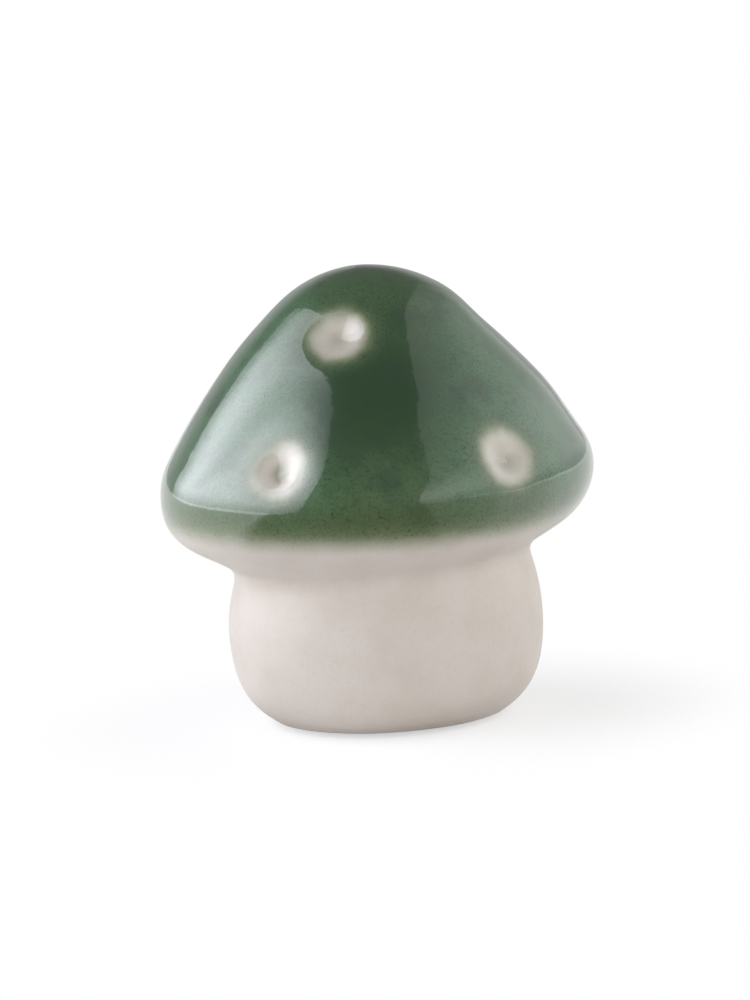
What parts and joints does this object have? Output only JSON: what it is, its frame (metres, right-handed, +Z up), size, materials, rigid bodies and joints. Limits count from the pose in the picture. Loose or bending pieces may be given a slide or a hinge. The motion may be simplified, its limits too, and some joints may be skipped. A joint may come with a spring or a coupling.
{
  "type": "ceramic mushroom ornament",
  "caption": "Small glazed ceramic mushroom: a domed green cap with pressed white spots, leaning on a plump cream stem with a flat foot.",
  "frame": {"origin": "centre of the foot ring, on the surface that the ornament stands on", "axes": "+Z up along the stem, -Y towards the viewer of the picture, +X to the viewer's right; the cap leans 2.1 degrees so that its right side is the higher"},
  "size_m": [0.076, 0.076, 0.0797],
  "materials": {
    "stoneware": "bare fired clay, fine grained and matt",
    "slip": "fired slip, matt",
    "green_glaze": "glossy translucent green glaze, lighter where it breaks over edges, with fine iron specks",
    "cream_glaze": "satin cream glaze with a faint mottle",
    "white_glaze": "glossy warm white glaze"
  },
  "bodies": {
    "root": {"cap_casting": "stoneware", "stem_casting": "stoneware", "luting_slip": "slip", "green_glaze": "green_glaze", "cream_glaze": "cream_glaze", "white_dot_1": "white_glaze", "white_dot_2": "white_glaze", "white_dot_3": "white_glaze", "white_dot_4": "white_glaze", "white_dot_5": "white_glaze", "white_dot_6": "white_glaze", "white_dot_7": "white_glaze", "white_dot_8": "white_glaze"}
  },
  "joints": []
}
